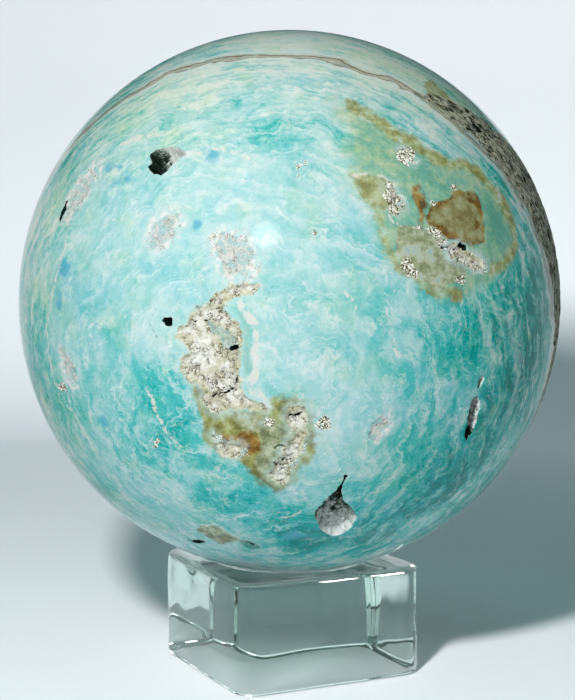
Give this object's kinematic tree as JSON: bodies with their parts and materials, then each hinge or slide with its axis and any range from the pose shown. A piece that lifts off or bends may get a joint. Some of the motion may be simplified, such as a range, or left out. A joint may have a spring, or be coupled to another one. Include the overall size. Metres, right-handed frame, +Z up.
{
  "type": "blue aragonite sphere on a glass stand",
  "caption": "Polished blue aragonite sphere with open pits and chalky crust, resting in the dish of a clear square glass stand.",
  "frame": {"origin": "middle of the stand's underside, on the surface it stands on", "axes": "+Z up through the middle of the stand and the ball; the stand's flat sides face along X and Y; the ball's best side looks towards -Y and a little to -X"},
  "size_m": [0.09, 0.09, 0.1063],
  "materials": {
    "blue_aragonite": "polished, banded turquoise and white, with ochre patches and rough chalky pits",
    "clear_glass": "clear pressed glass, fire polished"
  },
  "bodies": {
    "root": {"aragonite_sphere": "blue_aragonite", "glass_stand": "clear_glass"}
  },
  "joints": []
}
